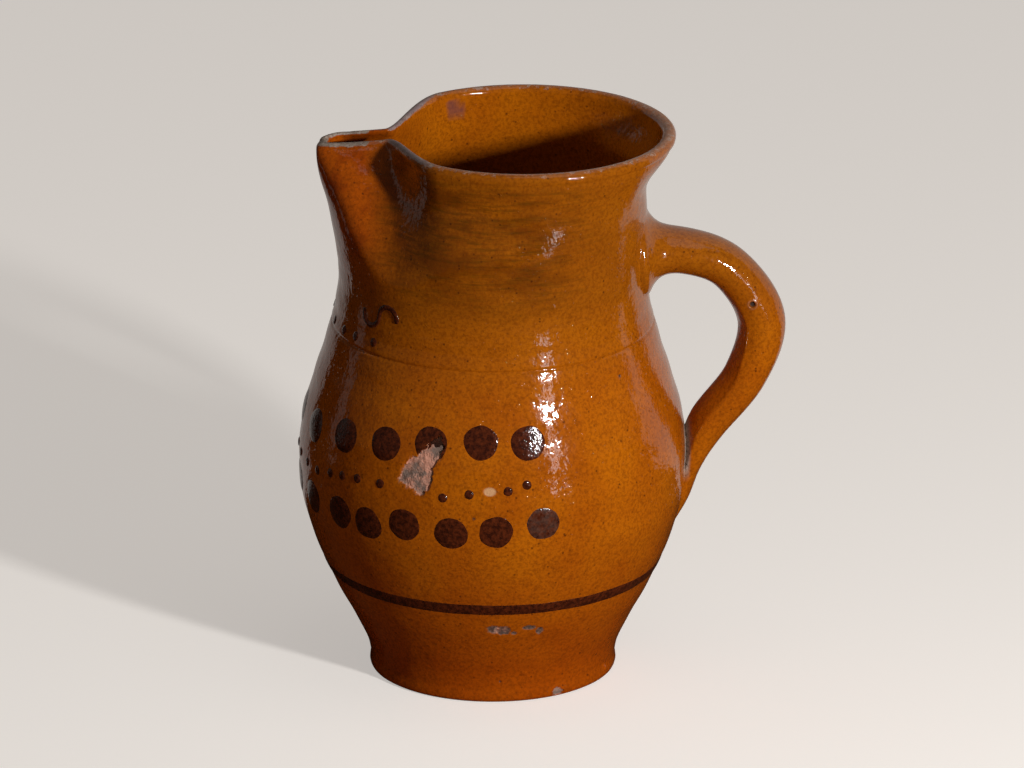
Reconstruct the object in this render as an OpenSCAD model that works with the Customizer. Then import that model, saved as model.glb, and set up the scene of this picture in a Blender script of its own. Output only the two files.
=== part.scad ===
// A hand-thrown earthenware jug: round body, pinched spout, pulled handle and raised slip decoration.
// It stands on the origin with +Z up, the spout towards -X and the handle towards +X. Sizes are in mm.

/* [Body] */
// Radius of the flat foot
foot_r = 52; // [48:0.5:56]
// Height of the upright edge of the foot
foot_h = 10; // [6:0.5:14]
// Lean of the wall where it leaves the foot
foot_lean = 0.42; // [0.3:0.01:0.55]
// Height from there to the middle of the rising wall
flank_rise = 40; // [35:1:45]
// Radius at the middle of the rising wall
flank_r = 71.8; // [69:0.2:74]
// Lean of the wall at its middle
flank_lean = 0.45; // [0.3:0.01:0.5]
// Height from there to the widest place
belly_rise = 45; // [40:1:50]
// Radius at the widest place
belly_r = 82.4; // [79:0.2:86]
// Height from there to the middle of the shoulder
shoulder_rise = 43; // [38:1:48]
// Radius at the middle of the shoulder
shoulder_r = 73.6; // [71:0.2:76]
// Lean of the shoulder towards the neck
shoulder_lean = 0.33; // [0.2:0.01:0.4]
// Height from there to where the neck is upright
neck_rise = 40; // [35:1:46]
// Radius of the neck
neck_r = 65.5; // [63:0.5:68]
// Thickness of the wall
wall_t = 6; // [4.5:0.5:8]
// Thickness of the floor
floor_t = 9; // [6:0.5:12]
// Radius of the corner between floor and wall inside
corner_r = 16; // [10:1:22]
// Worn bevel round the bottom of the foot
foot_bevel = 1.2; // [0.6:0.2:2]

/* [Incised line] */
// Height of the line over the middle of the shoulder
line_rise = 17; // [12:1:22]
// Width of the line
line_w = 2; // [1.2:0.2:3]
// Depth of the line
line_depth = 0.7; // [0.3:0.1:1]

/* [Mouth] */
// Height from the upright neck to where the wall starts to flare on the handle side
flare_rise = 29; // [24:1:34]
// Height of the flared mouth, up to the crest of the rim
mouth_h = 33; // [28:1:40]
// Shift of the round mouth towards the handle
mouth_x = 13; // [10:0.5:16]
// Radius of the round mouth along the spout
mouth_rx = 64; // [61:0.5:67]
// Radius of the round mouth across the spout
mouth_ry = 60; // [57:0.5:63]
// Thickness of the lip
lip_t = 5.5; // [4.5:0.5:7]
// Hollow of the wall under the rim
waist_depth = 3; // [1:0.2:3.6]
// Height of the rounded bead round the rim
bead_h = 4.8; // [4:0.2:7]
// How far the bead stands out from the wall
bead_out = 0.9; // [0.5:0.1:1.5]

/* [Spout] */
// Distance from the axis to the tip of the spout
spout_reach = 75; // [72:0.5:80]
// Distance from the axis to the end of the straight sides of the spout
spout_root = 46.5; // [44:0.5:50]
// Outside width of the spout at its lip
spout_w = 15; // [13:0.5:19]
// Clear width of the channel between the lips
channel_w = 6; // [5:0.5:8]
// Length of the rounded nose of the spout
nose_len = 7; // [5:0.5:10]
// How far the lip of the spout lies under the crest of the rim
spout_drop = 3; // [0:0.5:5]
// Height from the upright neck to where the wall starts to lean out in front
pinch_rise = 14; // [10:1:20]
// Height from there up to where the cheek of the spout starts to be drawn out
cheek_rise = 10; // [6:1:14]
// Height over the upright neck where the crease beside the spout starts
crease_rise = 8; // [5:1:12]
// Lean of the wall under the spout
nose_lean = 0.17; // [0.1:0.01:0.2]

/* [Handle] */
// Height at which the handle leaves the neck, over the place where the neck is upright
handle_top_rise = 7.2; // [4:0.2:10]
// How far it runs straight out of the neck
arm_run = 16; // [12:1:20]
// Distance from the axis to the middle of the grip
handle_reach = 115; // [108:1:125]
// How far the middle of the grip lies under the top of the handle
grip_drop = 30.2; // [26:0.2:34]
// Height at which the handle comes down on the body, over the widest place
handle_low_rise = 13; // [8:1:18]
// How far under the widest place its tail has run out into the body
tail_drop = 33; // [27:1:39]
// Thickness of the grip, seen from the side
grip_t = 19; // [15:0.5:22]
// Width of the grip, seen from the end
grip_w = 23; // [19:0.5:28]
// How much the handle spreads where it joins the neck
root_flare = 9.5; // [4:0.5:11]

/* [Slip decoration] */
// Thickness of the raised slip
slip_t = 0.8; // [0.5:0.1:1.2]
// Height of the middle of the brown band over the edge of the foot
band_rise = 39.1; // [32:0.1:44]
// Width of the brown band
band_w = 5.5; // [2.5:0.5:6]
// Radius of a large dot
large_dot_r = 7.2; // [5.5:0.1:7.6]
// Radius of a small dot
small_dot_r = 2.1; // [1.4:0.1:2.6]
// Height of the upper row of large dots over the widest place
upper_row_rise = 27; // [24:0.5:30]
// Height of the row of small dots over the widest place
small_row_rise = 8; // [6:0.5:10]
// How far the lower row of large dots lies under the widest place
lower_row_drop = 8; // [5:0.5:12]
// Height of the short row of small dots over the incised line
neck_row_rise = 4; // [3.6:0.2:8]
// Width of the trail of the scroll on the neck
scroll_w = 2.4; // [1.6:0.2:3]
// Radius of the bends of the scroll
scroll_bend = 5; // [4:0.2:6]
// Distance from the middle of the scroll to the middle of each bend
scroll_run = 5; // [4:0.5:6]
// How far the scroll lies under the place where the neck is upright
scroll_drop = 6; // [4:0.5:9]

/* [Wear] */
// Height of the flaked patch on the front
flake_h = 23.4; // [18:0.2:28]
// Height of its middle over the widest place
flake_rise = 18; // [14:1:22]
// Depth of the flaked patch
flake_depth = 0.9; // [0.4:0.1:1.2]

/* [Hidden] */
$fn = 96;
glaze = "#b5661a";
slip_brown = "#3a1a14";

// Heights of the places on the body, each stacked on the one below it
flank_z = foot_h + flank_rise;
belly_z = flank_z + belly_rise;
shoulder_z = belly_z + shoulder_rise;
neck_z = shoulder_z + neck_rise;
pinch_z = neck_z + pinch_rise;
cheek_z = pinch_z + cheek_rise;
crease_z = neck_z + crease_rise;
flare_z = neck_z + flare_rise;
rim_z = flare_z + mouth_h;
line_z = shoulder_z + line_rise;

// Heights between the points of the round profile
profile_step = 5;
// The mouth is one smooth shell above this height, and the round wall ends there
seam_rise = 4;
seam_z = neck_z + seam_rise;
// The lean under the spout starts, and the slip ends, this far from the seam
seam_clear = 1;
// The shell stands this much inside the round wall, so that no edge falls on another
seam_ledge = 0.02;

// Radius of the outside, as cubic stretches between stations of [height, radius, lean]
stations = [
    [foot_h, foot_r, foot_lean],
    [flank_z, flank_r, flank_lean],
    [belly_z, belly_r, 0],
    [shoulder_z, shoulder_r, -shoulder_lean],
    [neck_z, neck_r, 0]
];
function mix(a, b, t) = a + (b - a) * t;
function smooth(t) = let (c = min(max(t, 0), 1)) c * c * (3 - 2 * c);
function curve(p, q, p_way, q_way, t) =
    p * (2 * t^3 - 3 * t^2 + 1) + p_way * (t^3 - 2 * t^2 + t)
    + q * (3 * t^2 - 2 * t^3) + q_way * (t^3 - t^2);
function stretch_r(a, b, z) =
    let (rise = b[0] - a[0])
    curve(a[1], b[1], rise * a[2], rise * b[2], (z - a[0]) / rise);
function wall_r(z) =
    z <= foot_h ? foot_r
    : z >= neck_z ? neck_r
    : let (i = max([for (k = [0 : len(stations) - 2]) if (z >= stations[k][0]) k]))
      stretch_r(stations[i], stations[i + 1], z);

// The cavity keeps the wall's thickness and turns into the floor with a round corner
function cavity_r(z) =
    let (left = max(0, 1 - (z - floor_t) / corner_r))
    wall_r(max(z, foot_h)) - wall_t - corner_r * (1 - sqrt(1 - left * left));
function heights(low, high, step = profile_step) =
    let (n = ceil((high - low) / step))
    [for (i = [0 : n]) mix(low, high, i / n)];
function inside(low, high) = [for (z = heights(low, high)) [cavity_r(z), z]];
function reversed(list) = [for (i = [len(list) - 1 : -1 : 0]) list[i]];

// The outside of the round wall as [height, radius], up to the seam with the mouth. What lies on the
// wall takes its heights and radii from this list too, so that it is seated face to face.
line_low = line_z - line_w / 2;
line_high = line_z + line_w / 2;
wall_line = [for (z = concat(heights(foot_h, line_low), heights(line_high, seam_z))) [z, wall_r(z)]];
function outside(low, high, out = 0) =
    let (levels = concat([low], [for (p = wall_line) if (p[0] > low && p[0] < high) p[0]], [high]))
    [for (z = levels) [lookup(z, wall_line) + out, z]];

// The round wall, with the line cut into it
module round_wall() {
    corner_top = floor_t + corner_r;
    corner = [for (a = [15 : 15 : 90]) let (z = corner_top - corner_r * sin(a)) [cavity_r(z), z]];
    rotate_extrude()
        polygon(concat(
            [[0, 0], [foot_r - foot_bevel, 0], [foot_r, foot_bevel]],
            outside(foot_h, line_low),
            [[wall_r(line_z) - line_depth, line_z]],
            outside(line_high, seam_z),
            reversed(inside(corner_top, seam_z)),
            corner,
            [[0, floor_t]]
        ));
}

// Plan of the mouth, one half: way 0 to 1 is the round mouth from the handle side, 1 to 2 the
// hollow where it is pinched, 2 to 3 the side of the spout, and 3 to 4 its round nose
side_angle = 125;
round_pull = 45;
spout_pull = 18;
function channel_half(inset) = mix(spout_w, channel_w, inset / lip_t) / 2;
function round_mouth(angle, inset) =
    [mouth_x + (mouth_rx - inset) * cos(angle), (mouth_ry - inset) * sin(angle)];
function spout_side(t, inset) =
    [-mix(spout_root - inset / 3, spout_reach - nose_len, t), channel_half(inset)];
function mouth_plan(way, inset) =
    way <= 1 ? round_mouth(side_angle * way, inset)
    : way <= 2 ? curve(
        round_mouth(side_angle, inset), spout_side(0, inset),
        round_pull * [-sin(side_angle), cos(side_angle)], spout_pull * [-1, 0], way - 1)
    : way <= 3 ? spout_side(way - 2, inset)
    : let (a = 90 * (way - 3))
      [-(spout_reach - nose_len) - (nose_len - inset * 0.8) * sin(a), channel_half(inset) * cos(a)];

// Plan of the neck at the same ways, leaning out under the spout
way_angles = [[0, 0], [1, 104], [2, 130], [3, 163], [4, 180]];
nose_angle = 60;
function neck_plan(way, z, inset) =
    let (
        a = lookup(way, way_angles),
        near = max(0, cos(min(90, (180 - a) * 90 / nose_angle))),
        out = nose_lean * max(0, z - seam_z - seam_clear) * near * near
    )
    (wall_r(z) + out - inset) * [cos(a), sin(a)];
// How far the wall has moved from the neck to the mouth at a height. It opens early in the crease
// beside the spout and late in the cheek.
function open_share(way, z) =
    let (
        round_start = mix(flare_z, pinch_z, smooth(way / 0.8)),
        start = mix(round_start, mix(crease_z, cheek_z, smooth(way - 2)), smooth(way - 1)),
        t = min(max((z - start) / (rim_z - start), 0), 1),
        crease = t * t * 1.15 / (t + 0.15)
    )
    mix(smooth(t), mix(crease, t ^ 1.7, smooth(way - 2)), smooth(way - 1));
// The lip sinks from here to the end of the straight sides of the spout
drop_start = 20;
function rim_point(way, z, depth, hollow_in) =
    let (
        inset = depth + hollow_in * (1 - smooth(way - 1)),
        share = open_share(way, z),
        p = mix(neck_plan(way, z, inset), mouth_plan(way, inset), share),
        drop = spout_drop * share * smooth((-p[0] - drop_start) / (spout_reach - nose_len - drop_start))
    )
    [p[0], p[1], z - drop];

// Rings of the mouth as [height, inset, hollow], up the outside, over the lip and down the inside.
// The hollow under the rim and its bead fade out before the spout.
bead_z = rim_z - bead_h;
function waist(z) =
    z > flare_z && z < bead_z ? waist_depth * sin(180 * (z - flare_z) / (bead_z - flare_z)) ^ 2 : 0;
mouth_step = 4;
neck_heights = heights(seam_z, pinch_z, 2 * mouth_step);
outer_heights = concat(neck_heights, heights(pinch_z + mouth_step, bead_z - 0.17 * bead_h, mouth_step));
inner_heights = concat(neck_heights, heights(pinch_z + mouth_step, rim_z - 0.6 * bead_h, mouth_step));
rings = concat(
    [for (z = outer_heights) [z, z == seam_z ? seam_ledge : 0, waist(z)]],
    [
        [bead_z, 0, bead_out / 3],
        [rim_z - 0.83 * bead_h, 0, -bead_out],
        [rim_z - 0.46 * bead_h, 0, -bead_out],
        [rim_z - 0.15 * bead_h, lip_t * 0.16, 0],
        [rim_z, lip_t * 0.45, 0],
        [rim_z - 0.12 * bead_h, lip_t * 0.8, 0]
    ],
    [for (z = reversed(inner_heights))
        [z, mix(wall_t, lip_t, open_share(0, z)) + (z == seam_z ? seam_ledge : 0), waist(z) * 0.6]]
);
half_ways = concat(
    [for (i = [0 : 15]) i / 16],
    [for (i = [0 : 5]) 1 + i / 6],
    [for (i = [0 : 3]) 2 + i / 4],
    [for (i = [0 : 4]) 3 + i / 4]
);
function rim_ring(ring) =
    let (half = [for (way = half_ways) rim_point(way, ring[0], ring[1], ring[2])])
    concat(half, [for (i = [len(half) - 2 : -1 : 1]) [half[i][0], -half[i][1], half[i][2]]]);

// The pulled mouth is a closed shell: its rings run up the outside and down the inside
module pulled_mouth() {
    loops = [for (ring = rings) rim_ring(ring)];
    n = len(loops[0]);
    m = len(loops);
    polyhedron(
        points = [for (loop = loops) each loop],
        faces = [for (i = [0 : m - 1], j = [0 : n - 1])
            let (
                a = i * n + j,
                b = i * n + (j + 1) % n,
                c = ((i + 1) % m) * n + (j + 1) % n,
                d = ((i + 1) % m) * n + j
            )
            each [[a, c, b], [a, d, c]]]
    );
}

// The handle's middle line as [distance, height, half thickness, half width], the last two as shares
// of those of the grip. It ends inside the wall at both ends.
handle_top_z = neck_z + handle_top_rise;
grip_z = handle_top_z - grip_drop;
handle_low_z = belly_z + handle_low_rise;
tail_z = belly_z - tail_drop;
tail_h = handle_low_z - tail_z;
low_x = wall_r(handle_low_z) + 0.47 * grip_t;
handle_path = [
    [neck_r - 1.5 * wall_t, handle_top_z, 1.1, 1.09],
    [neck_r + arm_run, handle_top_z, 1.13, 1.09],
    [mix(neck_r + arm_run, handle_reach, 0.6), mix(grip_z, handle_top_z, 0.76), 1.07, 1],
    [handle_reach, grip_z, 1, 1],
    [mix(low_x, handle_reach, 0.69), mix(grip_z, handle_low_z, 0.52), 0.96, 1],
    [low_x, handle_low_z, 0.9, 1],
    [wall_r(handle_low_z - 0.37 * tail_h) + 0.09 * grip_t, handle_low_z - 0.37 * tail_h, 0.55, 0.91],
    [wall_r(handle_low_z - 0.7 * tail_h) - 0.04 * grip_t, handle_low_z - 0.7 * tail_h, 0.38, 0.74],
    [wall_r(tail_z) - 0.16 * grip_t, tail_z, 0.17, 0.35]
];
handle_line = [for (p = handle_path) [p[0], p[1], p[2] * grip_t / 2, p[3] * grip_w / 2]];
handle_steps = concat([for (i = [0 : 11]) i / 12], [for (i = [0 : 4 * (len(handle_line) - 2)]) 1 + i / 4]);
handle_sides = 18;
// Distance over which the spread at the neck dies away, and the fullness of the oval section
flare_run = 3.5;
section_power = 0.85;
function line_way(i) =
    let (last = len(handle_line) - 1)
    (handle_line[min(i + 1, last)] - handle_line[max(i - 1, 0)]) / (i == 0 || i == last ? 1 : 2);
function handle_at(s) =
    let (i = max(0, min(floor(s), len(handle_line) - 2)))
    curve(handle_line[i], handle_line[i + 1], line_way(i), line_way(i + 1), s - i);
function handle_ring(s) =
    let (
        here = handle_at(s),
        along = handle_at(s + 0.01) - handle_at(s - 0.01),
        out = [along[1], -along[0]] / norm([along[0], along[1]]),
        flare = root_flare * exp(-max(0, here[0] - neck_r) / flare_run)
    )
    [for (k = [0 : handle_sides - 1])
        let (
            a = 360 * k / handle_sides,
            across = (here[2] + flare) * sign(cos(a)) * abs(cos(a)) ^ section_power,
            wide = (here[3] + flare) * sign(sin(a)) * abs(sin(a)) ^ section_power
        )
        [here[0] + out[0] * across, wide, here[1] + out[1] * across]];
module swept_handle() {
    count = len(handle_steps) - 1;
    loops = [for (s = handle_steps) handle_ring(s)];
    n = handle_sides;
    polyhedron(
        points = [for (loop = loops) each loop],
        faces = concat(
            [[for (k = [0 : n - 1]) k]],
            [[for (k = [n - 1 : -1 : 0]) count * n + k]],
            [for (i = [0 : count - 1], k = [0 : n - 1])
                let (a = i * n + k, b = i * n + (k + 1) % n)
                each [[a, a + n, b + n], [a, b + n, b]]]
        )
    );
}

// The hollow of the round wall, which trims the roots of the handle
module hollow() {
    top_z = handle_top_z + grip_t + root_flare;
    rotate_extrude()
        polygon(concat([[0, floor_t]], inside(floor_t, top_z), [[0, top_z]]));
}

// A thin coat on the outside of the round wall, from one height to another
module coat(low, high, inner, outer) {
    rotate_extrude()
        polygon(concat(outside(low, high, outer), reversed(outside(low, high, inner))));
}

// Places a shape that points along +X on the outside at a turn from the spout towards the front
module at_wall(turn, z) {
    rotate([0, 0, 180 + turn])
        translate([0, 0, z])
            children();
}

// Each row of dots as [turn from the spout, height over the row's own height in radii of a large dot].
// A negative turn is on the far side, which mirrors the front.
function row(list, z, side = 1) = [for (dot = list) [side * dot[0], z + dot[1] * large_dot_r]];
upper_front = [[19.7, -0.79], [38, -0.33], [54.8, -0.04], [70.3, 0.4], [86.3, 0.64], [101.2, 0.56]];
upper_spout = [[0, -0.83]];
lower_front = [[37.6, -0.18], [49.7, -0.25], [62.7, 0.21], [77.5, 0], [91, 0.17], [105.1, 0.58]];
lower_spout = [[21, -0.24], [4, -0.07], [-15, -0.14]];
middle_front = [
    [17.3, -0.54], [25.5, -0.53], [33.1, -0.21], [39, -0.04], [45.6, 0.13], [54.4, 0.22],
    [75.1, -0.03], [83, 0.26], [94.6, 0.47], [100.3, 0.81]
];
middle_spout = [[0, -0.49], [8.5, -0.53], [-8.5, -0.53]];
middle_far = [[62, 0.17], [69, 0.06], [89.2, 0.43]];
neck_front = [[9.3, -0.08], [21.6, -0.03], [30.8, 0.06], [41.5, 0.17]];
upper_row_z = belly_z + upper_row_rise;
small_row_z = belly_z + small_row_rise;
lower_row_z = belly_z - lower_row_drop;
neck_row_z = line_z + neck_row_rise;
large_dots = concat(
    row(upper_front, upper_row_z), row(upper_spout, upper_row_z), row(upper_front, upper_row_z, -1),
    row(lower_front, lower_row_z), row(lower_spout, lower_row_z), row(lower_front, lower_row_z, -1)
);
small_dots = concat(
    row(middle_front, small_row_z), row(middle_spout, small_row_z), row(middle_front, small_row_z, -1),
    row(middle_far, small_row_z, -1), row(neck_front, neck_row_z), row(neck_front, neck_row_z, -1)
);
module dots(list, r) {
    for (dot = list)
        at_wall(dot[0], dot[1])
            rotate([0, 90, 0])
                translate([0, 0, belly_r / 2])
                    cylinder(r = r, h = belly_r, $fn = 40);
}

// Outline of the flaked patch as seen from the front, across and up from its middle, in shares of its height
flake_angle = 68.5;
flake_z = belly_z + flake_rise;
flake_outline = [
    [-0.43, -0.19], [-0.32, 0.02], [-0.26, 0.17], [-0.12, 0.22], [0.03, 0.37], [0.15, 0.53], [0.26, 0.6],
    [0.32, 0.47], [0.26, 0.27], [0.16, 0.11], [0.15, -0.14], [0.08, -0.32], [-0.03, -0.4], [-0.15, -0.31]
];
module flake_prism() {
    at_wall(flake_angle, flake_z)
        rotate([90, 0, 90])
            translate([0, 0, belly_r / 2])
                linear_extrude(belly_r)
                    polygon(flake_h * flake_outline);
}
module flake() {
    intersection() {
        coat(flake_z - flake_h, flake_z + flake_h, -flake_depth, 2 * slip_t);
        flake_prism();
    }
}

// The fired clay body: wall, floor, spout and handle are one piece
module jug() {
    color(glaze)
        difference() {
            union() {
                round_wall();
                pulled_mouth();
                difference() {
                    swept_handle();
                    hollow();
                }
            }
            flake();
        }
}

// Two rows of large dots of dark slip round the belly, under the spout
module slip_large_dots() {
    color(slip_brown)
        difference() {
            intersection() {
                coat(lower_row_z - 2 * large_dot_r, upper_row_z + 2 * large_dot_r, 0, slip_t);
                dots(large_dots, large_dot_r);
            }
            flake_prism();
        }
}

// A row of small dots between the large ones, and a short row over the incised line
module slip_small_dots() {
    color(slip_brown)
        intersection() {
            union() {
                coat(small_row_z - 2 * large_dot_r, small_row_z + 2 * large_dot_r, 0, slip_t);
                coat(line_high, seam_z - seam_clear, 0, slip_t);
            }
            dots(small_dots, small_dot_r);
        }
}

// The band round the lower wall
module slip_band() {
    band_z = foot_h + band_rise;
    color(slip_brown)
        coat(band_z - band_w / 2, band_z + band_w / 2, 0, slip_t);
}

// A plain trailed scroll on the neck, two half rings with round ends
module scroll_half() {
    translate([scroll_run, 0])
        difference() {
            circle(r = scroll_bend + scroll_w / 2);
            circle(r = scroll_bend - scroll_w / 2);
            translate([-2 * scroll_bend, -2 * scroll_bend])
                square([4 * scroll_bend, 2 * scroll_bend]);
        }
    translate([scroll_run + scroll_bend, 0])
        circle(r = scroll_w / 2);
}
scroll_angle = 43;
module slip_scroll() {
    color(slip_brown)
        intersection() {
            coat(line_high, seam_z - seam_clear, 0, slip_t);
            at_wall(scroll_angle, neck_z - scroll_drop)
                rotate([90, 0, 90])
                    translate([0, 0, neck_r / 2])
                        linear_extrude(neck_r)
                            for (turn = [0, 180])
                                rotate(turn)
                                    scroll_half();
        }
}

jug();
slip_large_dots();
slip_small_dots();
slip_band();
slip_scroll();
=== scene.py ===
import math

import bmesh
import bpy
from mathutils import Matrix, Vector, noise
from mathutils.bvhtree import BVHTree
from mathutils.kdtree import KDTree


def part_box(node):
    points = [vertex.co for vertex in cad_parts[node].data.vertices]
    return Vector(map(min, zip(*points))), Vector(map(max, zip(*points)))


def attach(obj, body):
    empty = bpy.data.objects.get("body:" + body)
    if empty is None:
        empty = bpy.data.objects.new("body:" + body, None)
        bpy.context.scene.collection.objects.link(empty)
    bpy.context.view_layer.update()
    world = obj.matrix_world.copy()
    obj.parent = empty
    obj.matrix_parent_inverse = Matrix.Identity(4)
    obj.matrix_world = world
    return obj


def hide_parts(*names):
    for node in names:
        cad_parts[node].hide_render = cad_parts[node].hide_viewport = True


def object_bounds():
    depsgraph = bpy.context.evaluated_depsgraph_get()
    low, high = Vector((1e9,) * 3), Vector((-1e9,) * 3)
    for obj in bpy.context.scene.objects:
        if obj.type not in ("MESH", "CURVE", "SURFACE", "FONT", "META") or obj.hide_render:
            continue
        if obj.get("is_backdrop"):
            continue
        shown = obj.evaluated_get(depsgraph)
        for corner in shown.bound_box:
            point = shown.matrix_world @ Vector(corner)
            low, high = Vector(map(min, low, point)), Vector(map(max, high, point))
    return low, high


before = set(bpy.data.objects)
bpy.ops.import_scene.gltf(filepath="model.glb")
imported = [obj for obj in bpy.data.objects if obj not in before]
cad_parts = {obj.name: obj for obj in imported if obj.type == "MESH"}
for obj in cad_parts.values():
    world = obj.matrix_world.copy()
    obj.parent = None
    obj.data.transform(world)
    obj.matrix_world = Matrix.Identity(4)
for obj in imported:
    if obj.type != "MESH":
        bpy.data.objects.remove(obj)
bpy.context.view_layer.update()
jug_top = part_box("jug")[1].z

# The thrown wall
# Red earthenware thrown on a kick wheel in one pull from foot to rim, about 6 mm thick. A line was cut
# round the shoulder while it turned, and the rim was rounded to a bead. Sizes are in millimetres, and
# each finished mesh is scaled to metres once.
MM = 0.001
foot_r = 52
foot_h = 10
foot_blend = 6
rest_r = foot_r - 2
stations = [
    # height, radius and lean of the wall
    (foot_h, foot_r, 0.42),
    (50, 71.8, 0.45),
    (95, 82.4, 0),
    (138, 73.6, -0.33),
    (178, 65.5, 0),
]
neck_z, neck_r = stations[-1][:2]
rim_z = jug_top / MM
wall_t = 6
floor_t = 9
corner_r = 16
line_z = 155
line_depth = 0.55
line_half_w = 0.55
groove_rise = 7
groove_depth = 0.45
seam_z = neck_z + 4
flare_z = neck_z + 29
crease_z = neck_z + 8
pinch_z = neck_z + 14
cheek_z = pinch_z + 10
lip_t = 5.5
bead_h = 4.8
bead_out = 0.9
bead_z = rim_z - bead_h
waist_depth = 3
ring_step = 1.9
inner_step = 4.5


def mix(a, b, t):
    return a + (b - a) * t


def smooth(t):
    t = min(max(t, 0), 1)
    return t * t * (3 - 2 * t)


def curve(p, q, p_way, q_way, t):
    return (
        p * (2 * t**3 - 3 * t**2 + 1)
        + p_way * (t**3 - 2 * t**2 + t)
        + q * (3 * t**2 - 2 * t**3)
        + q_way * (t**3 - t**2)
    )


def wall_r(z):
    if z <= foot_h:
        return foot_r
    for (z0, r0, lean0), (z1, r1, lean1) in zip(stations, stations[1:]):
        if z <= z1:
            rise = z1 - z0
            return curve(r0, r1, rise * lean0, rise * lean1, (z - z0) / rise)
    return neck_r


def swell(x, middle, half_w):
    """A smooth bump of height 1 about a middle."""
    return math.exp(-(((x - middle) / half_w) ** 2))


def finger_rings(z):
    """Soft ridges left by the potter's fingers, which fade out at the foot and under the rim."""
    fade = smooth((z - 14) / 20) * smooth((228 - z) / 15)
    return fade * (0.13 * math.sin(z / 2.9 + 1.4 * math.sin(z / 23)) + 0.1 * math.sin(z / 6.1 + 2))


def outside_r(z):
    """Radius of the outside: the wall with its rings, the line with a groove above, the rolled foot."""
    line = 0.2 * swell(z, line_z + 2, 1.2) - line_depth * swell(z, line_z, line_half_w)
    groove = groove_depth * swell(z, line_z + groove_rise, 1)
    roll = 0.35 * swell(z, 2.5, 2) - 0.3 * swell(z, 6, 1.3)
    fillet = stations[0][2] * max(0, foot_blend - abs(z - foot_h)) ** 2 / (4 * foot_blend)
    return wall_r(z) + finger_rings(z) + line - groove + roll + fillet


def open_share(way, z):
    """How far the wall has moved from the round neck to the mouth: round it, in the crease, at the cheek."""
    front = smooth(way / 0.8)
    start = mix(mix(flare_z, pinch_z, front), mix(crease_z, cheek_z, smooth(way - 2)), smooth(way - 1))
    t = min(max((z - start) / (rim_z - start), 0), 1)
    crease = t * t * 1.15 / (t + 0.15)
    cheek = t**1.7
    return mix(smooth(t), mix(crease, cheek, smooth(way - 2)), smooth(way - 1))


def waist(z):
    if not flare_z < z < bead_z:
        return 0
    return waist_depth * math.sin(math.pi * (z - flare_z) / (bead_z - flare_z)) ** 2


def even(low, high, step):
    count = math.ceil((high - low) / step)
    return [mix(low, high, i / count) for i in range(count + 1)]


# Half of the section as (radius, height, hollow under the rim, wear of the crest, share of the inside)
profile = [(r, 0, 0, 0, 0) for r in (0, 14, 28, 40, 47, rest_r)]
profile += [(rest_r + 2.1 * math.sin(a), 1.3 - 1.3 * math.cos(a), 0, 0, 0) for a in (0.5, 1, 1.5)]
fine_line = [line_z + dz for dz in (-1.2, -0.8, -0.4, 0, 0.4, 0.8, 1.2)]
heights = even(2.2, line_z - 1.6, ring_step) + fine_line + even(line_z + 1.7, bead_z - 0.7, ring_step)
profile += [(outside_r(z), z, waist(z), 0, 0) for z in heights]
profile += [
    (neck_r, bead_z - 0.1, 0.2, 0, 0),
    (neck_r, bead_z + 0.5, -0.5 * bead_out, 0, 0),
    (neck_r, bead_z + 1.1, -bead_out, 0, 0),
]
lip_rise = 2.7
for i in range(13):
    turn = math.pi * i / 12
    across = (1 - math.cos(turn)) / 2
    profile.append((
        neck_r - lip_t * across,
        rim_z - lip_rise + lip_rise * math.sin(turn),
        -bead_out * (1 - across),
        math.sin(turn) ** 2,
        across,
    ))
corner_top = floor_t + corner_r
for z in reversed(even(corner_top, rim_z - lip_rise - 1.5, inner_step)):
    depth = mix(wall_t, lip_t, open_share(0, z)) if z > seam_z else wall_t
    ridge = 0.22 * math.sin(z / 2.3) * smooth((210 - z) / 20)
    profile.append((wall_r(z) - depth + ridge, z, waist(z), 0, 1))
for i in range(1, 9):
    turn = math.pi / 2 * i / 8
    z = corner_top - corner_r * math.sin(turn)
    profile.append((wall_r(z) - wall_t - corner_r * (1 - math.cos(turn)), z, 0, 0, 1))
profile += [(r, floor_t, 0, 0, 1) for r in (26, 16, 7, 0)]

jug = bmesh.new()
hollow_layer = jug.verts.layers.float.new("hollow")
crest_layer = jug.verts.layers.float.new("crest")
inside_layer = jug.verts.layers.float.new("inside")
for r, z, hollow, crest, inside in profile:
    vert = jug.verts.new((r, 0, z))
    vert[hollow_layer] = hollow
    vert[crest_layer] = crest
    vert[inside_layer] = inside
jug.verts.ensure_lookup_table()
for i in range(len(profile) - 1):
    jug.edges.new((jug.verts[i], jug.verts[i + 1]))

# The half section turns from the handle side to the spout in four sweeps, finest where the wall is
# pinched, and is mirrored to the far side
way_angles = [0, 104, 130, 163, 180]
sweep_steps = [62, 34, 36, 16]
front = jug.verts[:] + jug.edges[:]
for start, end, steps in zip(way_angles, way_angles[1:], sweep_steps):
    front = bmesh.ops.spin(
        jug, geom=front, cent=(0, 0, 0), axis=(0, 0, 1), angle=math.radians(end - start), steps=steps,
        use_merge=False, use_duplicate=False,
    )["geom_last"]
bmesh.ops.remove_doubles(jug, verts=jug.verts[:], dist=0.001)
bmesh.ops.mirror(jug, geom=jug.verts[:] + jug.edges[:] + jug.faces[:], axis="Y", merge_dist=0.001)
bmesh.ops.remove_doubles(jug, verts=jug.verts[:], dist=0.001)
bmesh.ops.recalc_face_normals(jug, faces=jug.faces[:])

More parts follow.
